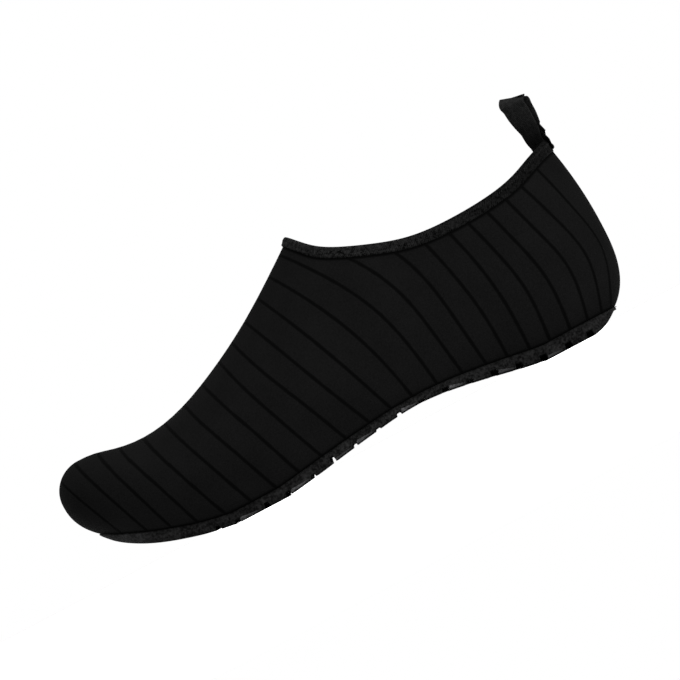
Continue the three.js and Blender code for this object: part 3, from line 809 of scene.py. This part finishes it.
def loopFrames():
    # the tape's centre line from the outer foot over the top, its width and thickness directions,
    # and how far up the rise each place is
    base, outward, up, foot = loopSeat()
    heights, outs, turns, leans = np.array(loopHalf).T
    spread = curveThrough(heights, outs * loop["bulge"])
    turnAt = curveThrough(heights, np.radians(turns * loop["turn"]))
    leanAt = curveThrough(heights, leans * loop["lean"])
    places, widths, rises = [], [], []
    for i in range(-loop["steps"], loop["steps"] + 1):
        side = 1 if i < 0 else -1
        share = 1 - abs(i) / loop["steps"]
        rootTurn = loop["outerTurn"] if side > 0 else 1
        rise = 0
        if share < loop["sewn"]:
            part = share / loop["sewn"]
            down = mix(-loop["foot"] * binding["back"], 0, part) + loop["seat"]
            point = base + outward * side * foot + up * down
            turning = (part - loop["turnStart"]) / (loop["turnFull"] - loop["turnStart"])
            turn = float(turnAt(0)) * rootTurn * min(max(turning, 0), 1)
        else:
            climb = (share - loop["sewn"]) / (1 - loop["sewn"])
            rise = math.sin(climb * math.pi / 2) ** loop["ease"]
            freed = min(rise / loop["pinch"], 1)
            out = 0 if i == 0 else mix(foot, float(spread(rise)), freed)
            turn = float(turnAt(rise)) * mix(rootTurn, 1, min(rise / loop["turnEnd"], 1))
            ahead = float(leanAt(rise)) * (freed if side > 0 else 1) - side * out * math.cos(turn)
            aside, above = -side * out * math.sin(turn), rise * loop["rise"] + loop["seat"]
            point = base + np.array((ahead, aside, above))
        tilt = math.radians(turn * loop["tilt"] / math.radians(loop["turn"]))
        places.append(point)
        rises.append(rise)
        widths.append((-math.sin(turn), math.cos(turn), -math.sin(tilt) * math.sin(turn)))
    places, widths = np.array(places), np.array(widths)
    along = unit(np.gradient(places, axis=0))
    widths = unit(widths - along * (widths * along).sum(axis=1, keepdims=True))
    return places, widths, unit(np.cross(along, widths)), np.array(rises)


def makeLoop():
    places, widths, thicks, rises = loopFrames()
    section = np.array(tapeSection)
    points = (
        places[:, None]
        + widths[:, None] * section[None, :, :1] * loop["width"] / 2
        + thicks[:, None] * section[None, :, 1:] * loop["thick"] / 2
    )
    rows, columns = points.shape[:2]
    faces = gridFaces(rows, columns, 0, False, True)
    faces += [tuple(range(columns))[::-1], tuple((rows - 1) * columns + j for j in range(columns))]
    length = np.concatenate([[0], np.cumsum(np.linalg.norm(np.diff(places, axis=0), axis=1))])
    uv = np.stack([np.repeat(length / 10, columns), np.tile(section[:, 0], rows)], axis=1)
    # painted shade: the loop's tape is drawn darker near its feet, low on the rise
    low, high = loop["shade"]
    shade = [("shade", 1 - np.clip((np.repeat(rises, columns) - low) / (high - low), 0, 1))]
    points = points.reshape(-1, 3)
    piece = makePiece("woven_loop", points, faces, [loopTape], uv, shade, sharp=50)
    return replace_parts(piece, "pull_loop")


makeLoop()
print("loop made")

# Outsole

sole = {
    "proud": 0.8, "grooveWidth": 2.1, "heelGrooveWidth": 3, "depth": 0.4, "flank": 0.4,
    "railFrom": 0.58, "railWidth": 0.35, "channel": (0.303, 0.342), "inset": 0.45, "bevelInset": 2.1,
    "bevelHeight": 1.9, "heelStart": 224, "heelLift": 0.028, "lipLight": 0.15, "lipMiddle": 21,
    "lipReach": 10, "bedInset": 0.6, "bedSteps": 9, "endFade": 3, "outlineSteps": 260,
    "rowStep": 1.8, "toeRows": (10, 12), "heelRows": (14, 16),
}
# Grooves from toe to heel: place as a share of the length, and depth as a share of the full depth
grooveRows = (
    (0.218, 0.75), (0.251, 0.6), (0.305, 1), (0.344, 0.8), (0.392, 0.55), (0.432, 1.15),
    (0.474, 0.6), (0.519, 0.4), (0.561, 0.75), (0.602, 0.5), (0.645, 0.9), (0.687, 0.6),
    (0.728, 1), (0.769, 0.85), (0.81, 0.9), (0.855, 0.9), (0.895, 0.9),
)
# The grooves that a bevelled lug follows, and how strongly
bevelAfter = {1: 1, 3: 1, 5: 0.55, 6: 1, 8: 1, 10: 1, 12: 1, 14: 0.9}
grooves, grooveDepths = np.array(grooveRows).T * np.array([[last["length"]], [1]])
inFront = grooves < sole["railFrom"] * last["length"]
grooveHalf = np.where(inFront, sole["grooveWidth"], sole["heelGrooveWidth"]) / 2
# Places across half the sole, closer at the channel and at the edge
soleAcross = (0, 0.1, 0.2, 0.3, 0.305, 0.34, 0.345, 0.36, 0.5, 0.65, 0.8, 0.9, 0.955, 0.985, 1)


def soleOutline():
    # the seam's line in plan with its outward directions, and its left and right halves from the toe
    points = levelRing(seamAt, True, sole["outlineSteps"])[0][:, :2]
    along = np.roll(points, -1, axis=0) - np.roll(points, 1, axis=0)
    outward = unit(np.stack([along[:, 1], -along[:, 0]], axis=1))
    half = len(points) // 2
    left = np.arange(half + 1)
    right = np.concatenate([[0], np.arange(len(points) - 1, half - 1, -1)])
    return points, outward, left, right


def soleEdges(rows):
    # for each row, the outline's left and right points and outward directions
    points, outward, left, right = soleOutline()
    proud = points + outward * sole["proud"]
    edges = []
    for side in (left, right):
        s = distanceFromToe(proud[side])
        sideways = [np.interp(rows, s, proud[side, 1])]
        sideways += [np.interp(rows, s, outward[side, axis]) for axis in (0, 1)]
        place = np.stack([toX(rows), sideways[0]], axis=1)
        edges.append((place, unit(np.stack(sideways[1:], axis=1))))
    return edges


def soleRowPlaces():
    # rows from toe to heel, closer at both ends and at the edges of each groove
    points, outward, left = soleOutline()[:3]
    front, back = distanceFromToe(points + outward * sole["proud"])[[0, left[-1]]]
    (toeReach, toeCount), (heelReach, heelCount) = sole["toeRows"], sole["heelRows"]
    places = list(front + toeReach * (np.arange(toeCount) / toeCount) ** 2)
    places += list(back - heelReach * (np.arange(heelCount) / heelCount) ** 2)
    places += list(np.arange(front + toeReach, back - heelReach, sole["rowStep"]))
    for middle, half in zip(grooves, grooveHalf):
        for offset in (0.4, 0.12, 0, -0.12, -0.3):
            places += [middle - half - offset, middle + half + offset]
    places = np.sort(np.array(places))
    keep = np.concatenate([[True], np.diff(places) > 0.05])
    return places[keep]


def grooveAt(s):
    # 0 on a lug to the groove's own depth in its bottom, with rounded flanks
    inside = grooveHalf - np.abs(s[:, None] - grooves)
    share = np.clip((inside + 0.1) / sole["flank"], 0, 1)
    return (share ** 0.6 * grooveDepths).max(axis=1)


def bevelAt(s):
    # how strongly each place is bevelled: full behind the groove and less towards the next one
    strength = np.zeros(len(s))
    for i, strong in bevelAfter.items():
        start, end = grooves[i] + grooveHalf[i], grooves[i + 1] - grooveHalf[i + 1]
        share = (s - start) / (end - start)
        fading = mix(1, 0.2, np.clip(share, 0, 1))
        shape = np.clip(share / 0.06, 0, 1) * fading * np.clip((1 - share) / 0.05, 0, 1)
        strength = np.maximum(strength, strong * shape)
    return strength


def treadLift(rows, across, ground, deep):
    # how high the tread's underside lies, and how deep each place is cut by a groove or channel
    treaded = rows < sole["railFrom"] * last["length"]
    out = np.abs(across)
    cross = grooveAt(rows)[:, None] * (treaded[:, None] | (out > sole["railWidth"]))
    channel = (out > sole["channel"][0]) & (out < sole["channel"][1])
    cut = np.maximum(cross, channel[None, :] & (treaded & (rows > grooves[0] - 5))[:, None])
    edge = np.interp(out, [0.955, 0.985, 1], [0, 0.1, 0.3])
    lift = ground[:, None] + deep[:, None] * cut + edge[None, :]
    return np.minimum(lift, (seamAt(rows) - 0.2)[:, None]), cut


def walled(edges, offset, height):
    # one level of the side wall, left and right, some way out from the sole's edges
    offset = np.broadcast_to(offset, len(height))[:, None]
    return [np.concatenate([place + out * offset, height[:, None]], axis=1) for place, out in edges]


def spanned(sides, height, shares):
    # a surface from the left wall to the right one
    share = (1 - shares[None, :, None]) / 2
    flat = sides[0][:, None, :2] * (1 - share) + sides[1][:, None, :2] * share
    return np.concatenate([flat, height[:, :, None]], axis=2)


def wallLevels(rows, edges, raised, broad, inset, lit):
    # the side wall from the tread up: how far out, how high, how much painted highlight on a bevel and
    # how much painted shade
    seam = seamAt(rows)
    # a painted highlight along the wall's lip near the toe
    lip = sole["lipLight"] * np.exp(-((rows - sole["lipMiddle"]) / sole["lipReach"]) ** 2)
    top = np.minimum(broad, seam - 0.15)
    levels = []
    for offset, height, bright, dark in (
        # the dark values are painted shade at the wall's top, where it meets the upper
        (-inset * 0.8, np.minimum(raised + 0.4, seam - 0.3), 1, 0.0),
        (-inset * 0.06, np.minimum(broad - 0.07, seam - 0.22), 1, 0.0),
        (0, top, 0, 0.0),
        (0, np.maximum(seam - 0.45, top + 0.03), 0, 0.42),
        (-0.3, seam, 0, 0.6),
        (-0.55, seam - 0.1, 0, 1.0),
    ):
        light = np.maximum(bright * lit, lip * (dark < 0.5))
        look = np.stack([light, np.full(len(rows), dark)], axis=1)
        levels.append((walled(edges, offset, height), look))
    return levels


def makeOutsole():
    rows = soleRowPlaces()
    edges = soleEdges(rows)
    across = np.array([-t for t in soleAcross[:0:-1]] + list(soleAcross))
    ground = groundAt(rows) + sole["heelLift"] * np.maximum(rows - sole["heelStart"], 0) ** 2
    ground = np.minimum(ground, seamAt(rows) - 0.25)
    deep = sole["depth"] * bandAt(rows)
    lift, cut = treadLift(rows, across, ground, deep)
    bevel = bevelAt(rows)
    # the painted highlight falls on bevelled lugs, away from the grooves
    lit = bevel * (grooveAt(rows) < 0.01)
    fade = sole["endFade"]
    ends = np.clip((rows - rows[0]) / fade, 0, 1) * np.clip((rows[-1] - rows) / fade, 0, 1)
    inset = mix(sole["inset"], sole["bevelInset"], bevel) * ends
    shoulder = mix(deep + 0.35, sole["bevelHeight"] * (0.35 + 0.65 * bevel), bevel > 0)
    raised = lift[:, (0, -1)].max(axis=1)
    broad = np.maximum(ground + shoulder, raised + 0.2)
    bottom = spanned(walled(edges, -inset, ground), lift, across)
    levels = wallLevels(rows, edges, raised, broad, inset, lit)
    floor, bedShares = bedAt(rows), np.linspace(-1, 1, sole["bedSteps"])
    bedHeight = np.repeat(floor[:, None], len(bedShares), axis=1)
    bed = spanned(walled(edges, -sole["bedInset"], floor), bedHeight, bedShares)
    # looks beside the places: bevel holds the painted highlight and edge the painted shade
    under = np.zeros((*bottom.shape[:2], 2))
    # painted shade: grooves and the channel are drawn darker, and the tread's outer edges darkest
    under[..., 1] = cut * 0.7
    under[:, (0, -1), 0] = lit[:, None]
    under[:, (0, -1), 1] = 1
    patches = [(bottom, under, False), (bed, np.zeros((*bed.shape[:2], 2)), True)]
    for side, column in ((0, -1), (1, 0)):
        wall = [bottom[:, column], *(sides[side] for sides, look in levels), bed[:, column]]
        seen = [under[:, column], *(look for sides, look in levels), np.ones((len(rows), 2))]
        patches.append((np.stack(wall, axis=1), np.stack(seen, axis=1), side == 1))
    whole, faces = joined([(np.concatenate([grid, look], axis=2), flip) for grid, look, flip in patches])
    points, faces, looks = welded(whole[:, :3], faces, whole[:, 3:])
    named = [("bevel", looks[:, 0]), ("edge", looks[:, 1])]
    piece = makePiece(
        "lugged_outsole", points, faces, [rubber], attributes=named, sharp=32,
    )
    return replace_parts(piece, "outsole")


makeOutsole()
print("outsole made")

# Insole

insole = {"thickness": 2.8, "inset": 2.9, "toeShort": 8, "heelShort": 2.2, "taper": 9}


def makeInsole():
    rows = soleRowPlaces()
    rows = rows[(rows > rows[0] + insole["toeShort"]) & (rows < rows[-1] - insole["heelShort"])][::3]
    edges = soleEdges(rows)
    fromEnd = np.minimum(rows - rows[0], rows[-1] - rows)
    taper = np.sqrt(np.clip(fromEnd / insole["taper"], 0, 1))[:, None]
    middle = (edges[0][0] + edges[1][0]) / 2
    sides = [middle + (place - out * insole["inset"] - middle) * taper for place, out in edges]
    shares = np.array([-1, -0.97, -0.9, -0.5, 0, 0.5, 0.9, 0.97, 1])
    crown = np.interp(np.abs(shares), [0, 0.9, 0.97, 1], [0, 0, -0.25, -0.8])
    low = np.repeat((bedAt(rows) + last["gap"])[:, None], len(shares), axis=1)
    over = spanned(sides, low + insole["thickness"] + crown, shares)
    under = spanned(sides, low, shares)
    points, faces = joined([
        (over, True),
        (under, False),
        (np.stack([under[:, -1], over[:, -1]], axis=1), False),
        (np.stack([under[:, 0], over[:, 0]], axis=1), True),
    ])
    points, faces = welded(points, faces)[:2]
    piece = makePiece("knit_insole", points, faces, [lining], sharp=60)
    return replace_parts(piece, "insole")


makeInsole()
print("insole made")

# Stitches

stitches = {"pitch": 1.15, "length": 1.7, "thread": 0.26, "slant": 40, "down": 0.4, "off": 1.16}
tacks = {"length": 1.6, "thread": 0.34, "count": 13, "reach": 0.8, "off": 0.46, "fromEnd": 3}


def stitchTree():
    # one stitch on every point, along its own direction and standing off the cloth
    tree = bpy.data.node_groups.new("stitch_row", "GeometryNodeTree")
    face = tree.interface
    inputs = {"Points": "Geometry", "Stitch Length": "Float", "Thread": "Float", "Material": "Material"}
    for name, kind in inputs.items():
        face.new_socket(name, in_out="INPUT", socket_type="NodeSocket" + kind)
    face.new_socket("Stitches", in_out="OUTPUT", socket_type="NodeSocketGeometry")
    make, join = tree.nodes.new, tree.links.new
    source, result = make("NodeGroupInput"), make("NodeGroupOutput")
    ball = make("GeometryNodeMeshUVSphere")
    for name, value in (("Segments", 8), ("Rings", 6), ("Radius", 0.5)):
        ball.inputs[name].default_value = value
    size = make("ShaderNodeCombineXYZ")
    for axis, name in (("X", "Stitch Length"), ("Y", "Thread"), ("Z", "Thread")):
        join(source.outputs[name], size.inputs[axis])
    shaped = make("GeometryNodeTransform")
    join(ball.outputs["Mesh"], shaped.inputs["Geometry"])
    join(size.outputs[0], shaped.inputs["Scale"])
    turns = []
    for name in ("along", "out"):
        named = make("GeometryNodeInputNamedAttribute")
        named.data_type = "FLOAT_VECTOR"
        named.inputs["Name"].default_value = name
        turn = make("FunctionNodeAlignRotationToVector")
        turn.axis = "X" if name == "along" else "Z"
        turn.pivot_axis = "AUTO" if name == "along" else "X"
        join(named.outputs["Attribute"], turn.inputs["Vector"])
        turns.append(turn)
    join(turns[0].outputs["Rotation"], turns[1].inputs["Rotation"])
    placed = make("GeometryNodeInstanceOnPoints")
    join(source.outputs["Points"], placed.inputs["Points"])
    join(shaped.outputs["Geometry"], placed.inputs["Instance"])
    join(turns[1].outputs["Rotation"], placed.inputs["Rotation"])
    real = make("GeometryNodeRealizeInstances")
    join(placed.outputs["Instances"], real.inputs["Geometry"])
    cloth = make("GeometryNodeSetMaterial")
    join(real.outputs["Geometry"], cloth.inputs["Geometry"])
    join(source.outputs["Material"], cloth.inputs["Material"])
    join(cloth.outputs["Geometry"], result.inputs["Stitches"])
    return tree


def makeStitches(name, points, along, out, tree, length, thickness):
    mesh = bpy.data.meshes.new(name + "_points")
    mesh.from_pydata((points * toMetres).tolist(), [], [])
    for label, values in (("along", along), ("out", out)):
        layer = mesh.attributes.new(label, "FLOAT_VECTOR", "POINT")
        layer.data.foreach_set("vector", values.astype(np.float32).reshape(-1))
    source = linked(name + "_points", mesh)
    modifier = source.modifiers.new("stitches", "NODES")
    modifier.node_group = tree
    values = {"Stitch Length": length * toMetres, "Thread": thickness * toMetres, "Material": thread}
    for item in tree.interface.items_tree:
        if item.in_out == "INPUT" and item.name in values:
            modifier[item.identifier] = values[item.name]
    seen = source.evaluated_get(bpy.context.evaluated_depsgraph_get())
    made = bpy.data.meshes.new_from_object(seen)
    made.name = name
    bpy.data.objects.remove(source)
    made.polygons.foreach_set("use_smooth", np.ones(len(made.polygons), bool))
    piece = linked(name, made)
    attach(piece, "root")
    return piece


def evenly(points, normals, pitch):
    # points at equal steps round a closed line, with their directions
    along, whole = ringLength(points)
    count = int(whole / pitch)
    at = np.arange(count) * whole / count
    closed = np.concatenate([along, [whole]])
    columns = [np.interp(at, closed, np.append(values, values[0])) for values in (*points.T, *normals.T)]
    places, outs = np.stack(columns[:3], axis=1), unit(np.stack(columns[3:], axis=1))
    return places, unit(np.roll(places, -1, axis=0) - np.roll(places, 1, axis=0)), outs


def makeCollarStitches(tree):
    points, normals = collarRing(stitches["down"], stitches["off"])
    places, along, out = evenly(points, normals, stitches["pitch"])
    slant = math.radians(90 - stitches["slant"])
    slanted = along * math.cos(slant) + np.cross(out, along) * math.sin(slant)
    return makeStitches(
        "collar_stitches", places, slanted, out, tree,
        stitches["length"], stitches["thread"],
    )


def makeLoopStitches(tree):
    # a bar tack across each foot of the loop
    places, widths, thicks = loopFrames()[:3]
    points, along, out = [], [], []
    for index in (tacks["fromEnd"], len(places) - 1 - tacks["fromEnd"]):
        for share in np.linspace(-tacks["reach"], tacks["reach"], tacks["count"]):
            aside = widths[index] * share * loop["width"] / 2
            points.append(places[index] + aside + thicks[index] * tacks["off"])
            along.append(np.cross(thicks[index], widths[index]))
            out.append(thicks[index])
    return makeStitches(
        "loop_tacks", np.array(points), np.array(along), np.array(out), tree,
        tacks["length"], tacks["thread"],
    )


tree = stitchTree()
makeCollarStitches(tree)
makeLoopStitches(tree)
print("stitches made")

# Floor, light and camera

stage = {
    "distance": 1.8, "height": 0.003, "roll": 27.83, "middle": (0.0856, 0.047), "frameWidth": 0.2789,
    "sensor": 36, "sky": 1.0, "floorHalf": 6,
}
lights = {
    "key": {"place": (-0.42, 0.5, 0.28), "aim": (-0.08, 0, 0.06), "size": 0.4, "power": 5.2},
    "overhead": {"place": (0.0, 0.1, 2.2), "aim": (0.05, 0, 0), "size": 1.6, "power": 72},
}


def makeFloor():
    shader = Shader("pale_floor")
    material = shader.finish(Base_Color=(0.92, 0.92, 0.92, 1), Roughness=0.9, Specular_IOR_Level=0.1)
    reach = stage["floorHalf"]
    corners = [(-reach, -reach, 0), (reach, -reach, 0), (reach, reach, 0), (-reach, reach, 0)]
    mesh = bpy.data.meshes.new("floor")
    mesh.from_pydata(corners, [], [(0, 1, 2, 3)])
    mesh.materials.append(material)
    floor = linked("floor", mesh)


def makeLight(name, place, aim, size, power):
    light = bpy.data.lights.new(name, "AREA")
    light.shape = "DISK"
    light.size = size
    light.energy = power
    lamp = linked(name, light)
    lamp.location = place
    lamp.rotation_euler = (Vector(aim) - Vector(place)).to_track_quat("-Z", "Y").to_euler()


def makeSky():
    world = bpy.data.worlds.new("studio")
    world.use_nodes = True
    background = world.node_tree.nodes["Background"]
    background.inputs["Color"].default_value = (1, 1, 1, 1)
    background.inputs["Strength"].default_value = stage["sky"]
    bpy.context.scene.world = world


def makeCamera():
    camera = bpy.data.cameras.new("camera")
    camera.sensor_width = stage["sensor"]
    camera.lens = stage["sensor"] * stage["distance"] / stage["frameWidth"]
    camera.clip_end = 20
    seat = linked("camera", camera)
    x, z = stage["middle"]
    place = Vector((x, stage["distance"], stage["height"]))
    back = (place - Vector((x, 0, z))).normalized()
    level = Vector((-1, 0, 0))
    upright = back.cross(level)
    roll = math.radians(stage["roll"])
    right = level * math.cos(roll) - upright * math.sin(roll)
    up = level * math.sin(roll) + upright * math.cos(roll)
    seat.matrix_world = Matrix((
        (right.x, up.x, back.x, place.x),
        (right.y, up.y, back.y, place.y),
        (right.z, up.z, back.z, place.z),
        (0, 0, 0, 1),
    ))
    bpy.context.scene.camera = seat


makeFloor()
makeSky()
for name, values in lights.items():
    makeLight(name, **values)
makeCamera()
bpy.context.scene.view_settings.view_transform = "Standard"
print("stage made")
